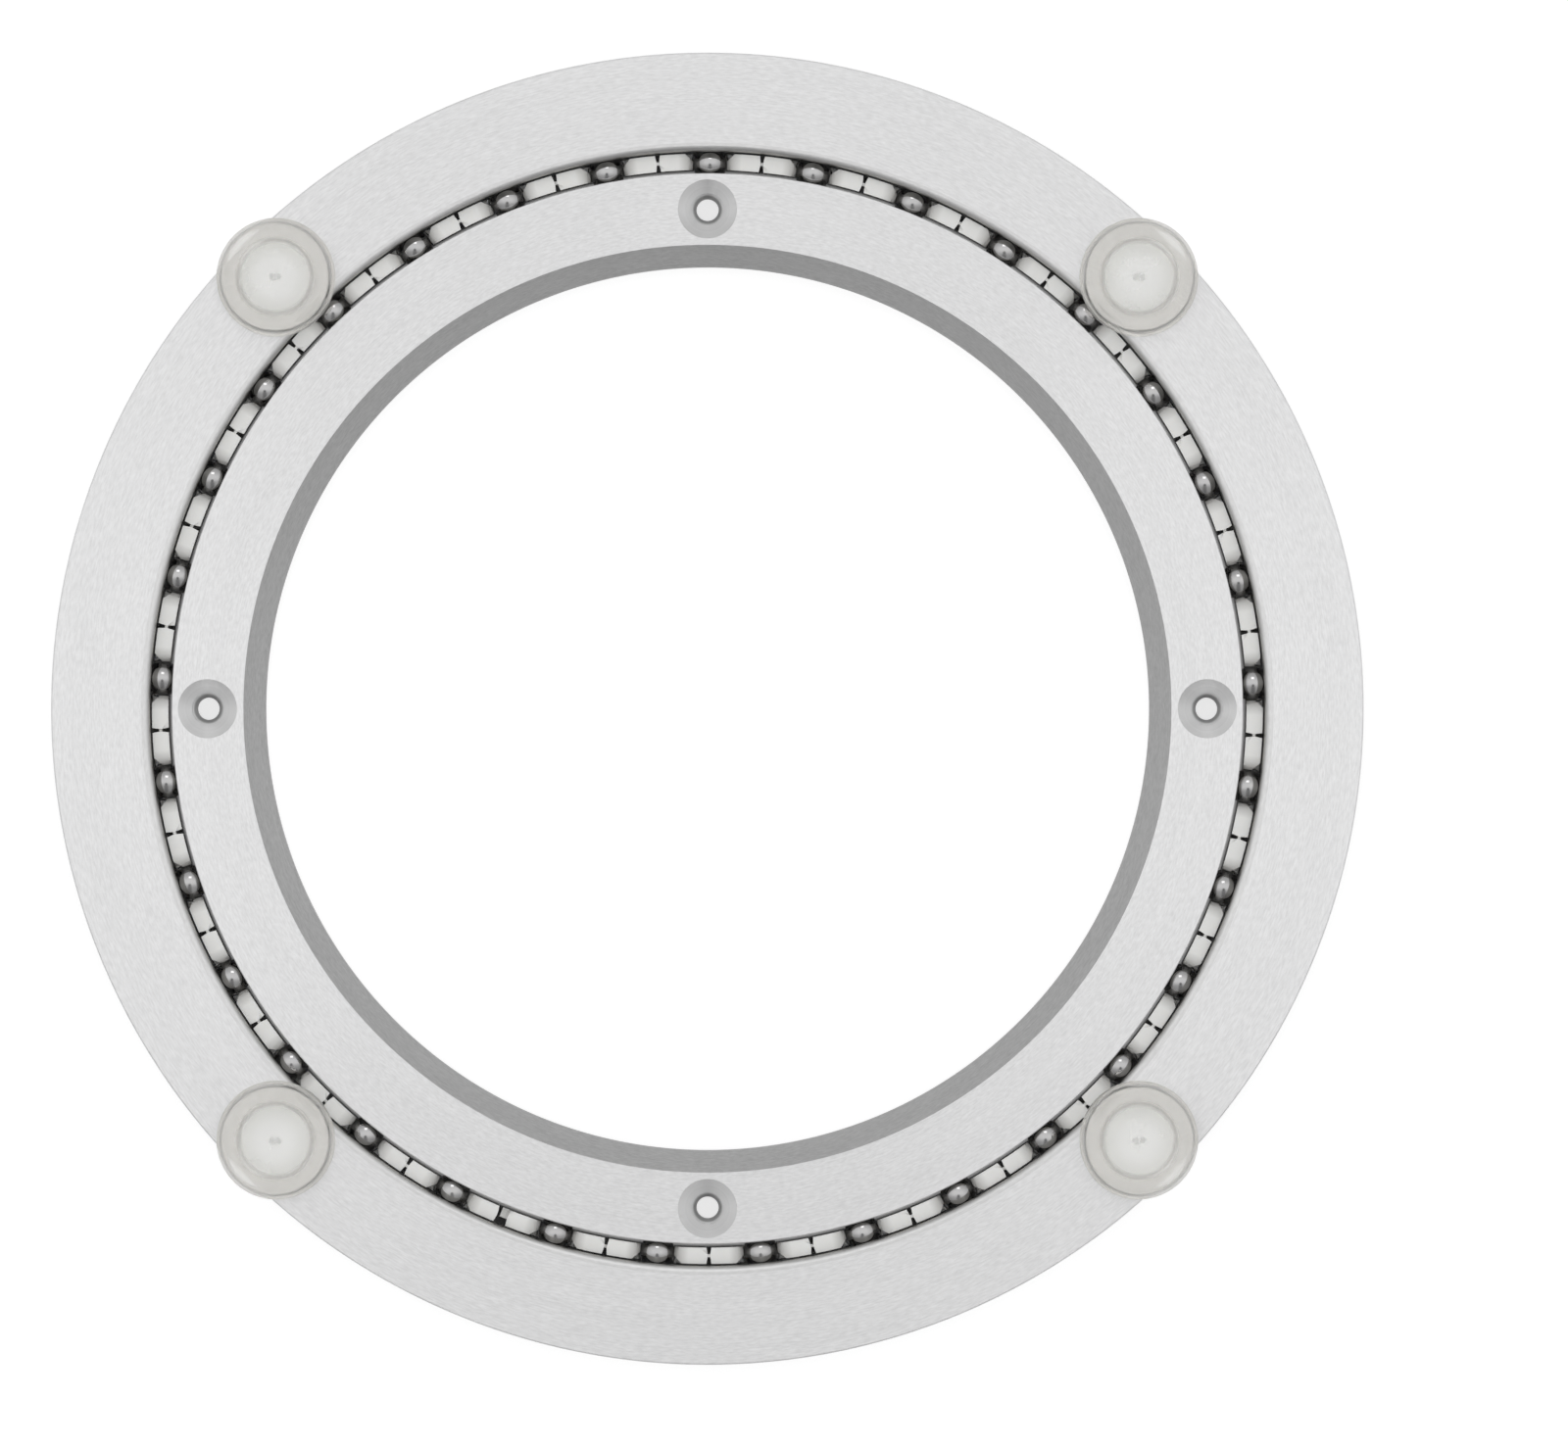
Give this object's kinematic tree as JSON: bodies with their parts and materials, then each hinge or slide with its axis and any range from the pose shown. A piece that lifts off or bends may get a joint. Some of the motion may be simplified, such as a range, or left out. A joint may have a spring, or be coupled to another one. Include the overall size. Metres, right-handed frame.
{
  "type": "turntable ball bearing",
  "caption": "Flat turntable bearing: two concentric aluminium rings that turn on caged steel balls, with screw-in clear feet on the outer ring and screw holes in the inner one.",
  "frame": {"origin": "centre of the inner ring's tray face, the lowest face, on the spin axis", "axes": "+Z along the spin axis, out of the outer ring's feet; +X and +Y through two of the four screw holes"},
  "size_m": [0.2, 0.2, 0.015],
  "materials": {
    "turned_aluminium": "fine turned, matt",
    "nylon": "moulded, slightly translucent",
    "ball_steel": "polished",
    "clear_pvc": "soft, clear, satin",
    "plated_steel": "zinc plated"
  },
  "bodies": {
    "outer_ring": {"outer_ring": "turned_aluminium", "foot_pad_1": "clear_pvc", "foot_pad_2": "clear_pvc", "foot_pad_3": "clear_pvc", "foot_pad_4": "clear_pvc", "foot_stud_1": "plated_steel", "foot_stud_2": "plated_steel", "foot_stud_3": "plated_steel", "foot_stud_4": "plated_steel"},
    "inner_ring": {"inner_ring": "turned_aluminium"},
    "ball_retainer": {"ball_retainer": "nylon"},
    "ball_01": {"ball_01": "ball_steel"},
    "ball_02": {"ball_02": "ball_steel"},
    "ball_03": {"ball_03": "ball_steel"},
    "ball_04": {"ball_04": "ball_steel"},
    "ball_05": {"ball_05": "ball_steel"},
    "ball_06": {"ball_06": "ball_steel"},
    "ball_07": {"ball_07": "ball_steel"},
    "ball_08": {"ball_08": "ball_steel"},
    "ball_09": {"ball_09": "ball_steel"},
    "ball_10": {"ball_10": "ball_steel"},
    "ball_11": {"ball_11": "ball_steel"},
    "ball_12": {"ball_12": "ball_steel"},
    "ball_13": {"ball_13": "ball_steel"},
    "ball_14": {"ball_14": "ball_steel"},
    "ball_15": {"ball_15": "ball_steel"},
    "ball_16": {"ball_16": "ball_steel"},
    "ball_17": {"ball_17": "ball_steel"},
    "ball_18": {"ball_18": "ball_steel"},
    "ball_19": {"ball_19": "ball_steel"},
    "ball_20": {"ball_20": "ball_steel"},
    "ball_21": {"ball_21": "ball_steel"},
    "ball_22": {"ball_22": "ball_steel"},
    "ball_23": {"ball_23": "ball_steel"},
    "ball_24": {"ball_24": "ball_steel"},
    "ball_25": {"ball_25": "ball_steel"},
    "ball_26": {"ball_26": "ball_steel"},
    "ball_27": {"ball_27": "ball_steel"},
    "ball_28": {"ball_28": "ball_steel"},
    "ball_29": {"ball_29": "ball_steel"},
    "ball_30": {"ball_30": "ball_steel"},
    "ball_31": {"ball_31": "ball_steel"},
    "ball_32": {"ball_32": "ball_steel"},
    "ball_33": {"ball_33": "ball_steel"}
  },
  "joints": [
    {"name": "inner_ring_spin", "type": "hinge", "parent": "outer_ring", "child": "inner_ring", "pos_m": [0, 0, 0.005], "axis": [0, 0, 1], "continuous": true},
    {"name": "retainer_orbit", "type": "hinge", "parent": "outer_ring", "child": "ball_retainer", "pos_m": [0, 0, 0.005], "axis": [0, 0, 1], "continuous": true},
    {"name": "ball_01_roll", "type": "hinge", "parent": "ball_retainer", "child": "ball_01", "pos_m": [-0.02322, -0.08005, 0.005], "axis": [0, 0, 1], "continuous": true},
    {"name": "ball_02_roll", "type": "hinge", "parent": "ball_retainer", "child": "ball_02", "pos_m": [-0.00768, -0.08299, 0.005], "axis": [0, 0, 1], "continuous": true},
    {"name": "ball_03_roll", "type": "hinge", "parent": "ball_retainer", "child": "ball_03", "pos_m": [0.00813, -0.08295, 0.005], "axis": [0, 0, 1], "continuous": true},
    {"name": "ball_04_roll", "type": "hinge", "parent": "ball_retainer", "child": "ball_04", "pos_m": [0.02364, -0.07993, 0.005], "axis": [0, 0, 1], "continuous": true},
    {"name": "ball_05_roll", "type": "hinge", "parent": "ball_retainer", "child": "ball_05", "pos_m": [0.03831, -0.07402, 0.005], "axis": [0, 0, 1], "continuous": true},
    {"name": "ball_06_roll", "type": "hinge", "parent": "ball_retainer", "child": "ball_06", "pos_m": [0.0516, -0.06546, 0.005], "axis": [0, 0, 1], "continuous": true},
    {"name": "ball_07_roll", "type": "hinge", "parent": "ball_retainer", "child": "ball_07", "pos_m": [0.06303, -0.05454, 0.005], "axis": [0, 0, 1], "continuous": true},
    {"name": "ball_08_roll", "type": "hinge", "parent": "ball_retainer", "child": "ball_08", "pos_m": [0.07219, -0.04166, 0.005], "axis": [0, 0, 1], "continuous": true},
    {"name": "ball_09_roll", "type": "hinge", "parent": "ball_retainer", "child": "ball_09", "pos_m": [0.07876, -0.02728, 0.005], "axis": [0, 0, 1], "continuous": true},
    {"name": "ball_10_roll", "type": "hinge", "parent": "ball_retainer", "child": "ball_10", "pos_m": [0.08249, -0.01191, 0.005], "axis": [0, 0, 1], "continuous": true},
    {"name": "ball_11_roll", "type": "hinge", "parent": "ball_retainer", "child": "ball_11", "pos_m": [0.08326, 0.00388, 0.005], "axis": [0, 0, 1], "continuous": true},
    {"name": "ball_12_roll", "type": "hinge", "parent": "ball_retainer", "child": "ball_12", "pos_m": [0.08103, 0.01953, 0.005], "axis": [0, 0, 1], "continuous": true},
    {"name": "ball_13_roll", "type": "hinge", "parent": "ball_retainer", "child": "ball_13", "pos_m": [0.07588, 0.03448, 0.005], "axis": [0, 0, 1], "continuous": true},
    {"name": "ball_14_roll", "type": "hinge", "parent": "ball_retainer", "child": "ball_14", "pos_m": [0.06801, 0.04819, 0.005], "axis": [0, 0, 1], "continuous": true},
    {"name": "ball_15_roll", "type": "hinge", "parent": "ball_retainer", "child": "ball_15", "pos_m": [0.05769, 0.06016, 0.005], "axis": [0, 0, 1], "continuous": true},
    {"name": "ball_16_roll", "type": "hinge", "parent": "ball_retainer", "child": "ball_16", "pos_m": [0.04529, 0.06997, 0.005], "axis": [0, 0, 1], "continuous": true},
    {"name": "ball_17_roll", "type": "hinge", "parent": "ball_retainer", "child": "ball_17", "pos_m": [0.03126, 0.07727, 0.005], "axis": [0, 0, 1], "continuous": true},
    {"name": "ball_18_roll", "type": "hinge", "parent": "ball_retainer", "child": "ball_18", "pos_m": [0.01611, 0.08178, 0.005], "axis": [0, 0, 1], "continuous": true},
    {"name": "ball_19_roll", "type": "hinge", "parent": "ball_retainer", "child": "ball_19", "pos_m": [0.00038, 0.08335, 0.005], "axis": [0, 0, 1], "continuous": true},
    {"name": "ball_20_roll", "type": "hinge", "parent": "ball_retainer", "child": "ball_20", "pos_m": [-0.01537, 0.08192, 0.005], "axis": [0, 0, 1], "continuous": true},
    {"name": "ball_21_roll", "type": "hinge", "parent": "ball_retainer", "child": "ball_21", "pos_m": [-0.03056, 0.07755, 0.005], "axis": [0, 0, 1], "continuous": true},
    {"name": "ball_22_roll", "type": "hinge", "parent": "ball_retainer", "child": "ball_22", "pos_m": [-0.04465, 0.07038, 0.005], "axis": [0, 0, 1], "continuous": true},
    {"name": "ball_23_roll", "type": "hinge", "parent": "ball_retainer", "child": "ball_23", "pos_m": [-0.05714, 0.06068, 0.005], "axis": [0, 0, 1], "continuous": true},
    {"name": "ball_24_roll", "type": "hinge", "parent": "ball_retainer", "child": "ball_24", "pos_m": [-0.06757, 0.0488, 0.005], "axis": [0, 0, 1], "continuous": true},
    {"name": "ball_25_roll", "type": "hinge", "parent": "ball_retainer", "child": "ball_25", "pos_m": [-0.07557, 0.03517, 0.005], "axis": [0, 0, 1], "continuous": true},
    {"name": "ball_26_roll", "type": "hinge", "parent": "ball_retainer", "child": "ball_26", "pos_m": [-0.08085, 0.02026, 0.005], "axis": [0, 0, 1], "continuous": true},
    {"name": "ball_27_roll", "type": "hinge", "parent": "ball_retainer", "child": "ball_27", "pos_m": [-0.08322, 0.00463, 0.005], "axis": [0, 0, 1], "continuous": true},
    {"name": "ball_28_roll", "type": "hinge", "parent": "ball_retainer", "child": "ball_28", "pos_m": [-0.0826, -0.01116, 0.005], "axis": [0, 0, 1], "continuous": true},
    {"name": "ball_29_roll", "type": "hinge", "parent": "ball_retainer", "child": "ball_29", "pos_m": [-0.07901, -0.02656, 0.005], "axis": [0, 0, 1], "continuous": true},
    {"name": "ball_30_roll", "type": "hinge", "parent": "ball_retainer", "child": "ball_30", "pos_m": [-0.07257, -0.041, 0.005], "axis": [0, 0, 1], "continuous": true},
    {"name": "ball_31_roll", "type": "hinge", "parent": "ball_retainer", "child": "ball_31", "pos_m": [-0.06352, -0.05396, 0.005], "axis": [0, 0, 1], "continuous": true},
    {"name": "ball_32_roll", "type": "hinge", "parent": "ball_retainer", "child": "ball_32", "pos_m": [-0.05219, -0.06499, 0.005], "axis": [0, 0, 1], "continuous": true},
    {"name": "ball_33_roll", "type": "hinge", "parent": "ball_retainer", "child": "ball_33", "pos_m": [-0.03898, -0.07367, 0.005], "axis": [0, 0, 1], "continuous": true}
  ],
  "couplings": [
    {"joint": "retainer_orbit", "follows": "inner_ring_spin", "ratio": 0.4835},
    {"joint": "ball_01_roll", "follows": "inner_ring_spin", "ratio": -15.138},
    {"joint": "ball_02_roll", "follows": "inner_ring_spin", "ratio": -15.138},
    {"joint": "ball_03_roll", "follows": "inner_ring_spin", "ratio": -15.138},
    {"joint": "ball_04_roll", "follows": "inner_ring_spin", "ratio": -15.138},
    {"joint": "ball_05_roll", "follows": "inner_ring_spin", "ratio": -15.138},
    {"joint": "ball_06_roll", "follows": "inner_ring_spin", "ratio": -15.138},
    {"joint": "ball_07_roll", "follows": "inner_ring_spin", "ratio": -15.138},
    {"joint": "ball_08_roll", "follows": "inner_ring_spin", "ratio": -15.138},
    {"joint": "ball_09_roll", "follows": "inner_ring_spin", "ratio": -15.138},
    {"joint": "ball_10_roll", "follows": "inner_ring_spin", "ratio": -15.138},
    {"joint": "ball_11_roll", "follows": "inner_ring_spin", "ratio": -15.138},
    {"joint": "ball_12_roll", "follows": "inner_ring_spin", "ratio": -15.138},
    {"joint": "ball_13_roll", "follows": "inner_ring_spin", "ratio": -15.138},
    {"joint": "ball_14_roll", "follows": "inner_ring_spin", "ratio": -15.138},
    {"joint": "ball_15_roll", "follows": "inner_ring_spin", "ratio": -15.138},
    {"joint": "ball_16_roll", "follows": "inner_ring_spin", "ratio": -15.138},
    {"joint": "ball_17_roll", "follows": "inner_ring_spin", "ratio": -15.138},
    {"joint": "ball_18_roll", "follows": "inner_ring_spin", "ratio": -15.138},
    {"joint": "ball_19_roll", "follows": "inner_ring_spin", "ratio": -15.138},
    {"joint": "ball_20_roll", "follows": "inner_ring_spin", "ratio": -15.138},
    {"joint": "ball_21_roll", "follows": "inner_ring_spin", "ratio": -15.138},
    {"joint": "ball_22_roll", "follows": "inner_ring_spin", "ratio": -15.138},
    {"joint": "ball_23_roll", "follows": "inner_ring_spin", "ratio": -15.138},
    {"joint": "ball_24_roll", "follows": "inner_ring_spin", "ratio": -15.138},
    {"joint": "ball_25_roll", "follows": "inner_ring_spin", "ratio": -15.138},
    {"joint": "ball_26_roll", "follows": "inner_ring_spin", "ratio": -15.138},
    {"joint": "ball_27_roll", "follows": "inner_ring_spin", "ratio": -15.138},
    {"joint": "ball_28_roll", "follows": "inner_ring_spin", "ratio": -15.138},
    {"joint": "ball_29_roll", "follows": "inner_ring_spin", "ratio": -15.138},
    {"joint": "ball_30_roll", "follows": "inner_ring_spin", "ratio": -15.138},
    {"joint": "ball_31_roll", "follows": "inner_ring_spin", "ratio": -15.138},
    {"joint": "ball_32_roll", "follows": "inner_ring_spin", "ratio": -15.138},
    {"joint": "ball_33_roll", "follows": "inner_ring_spin", "ratio": -15.138}
  ]
}
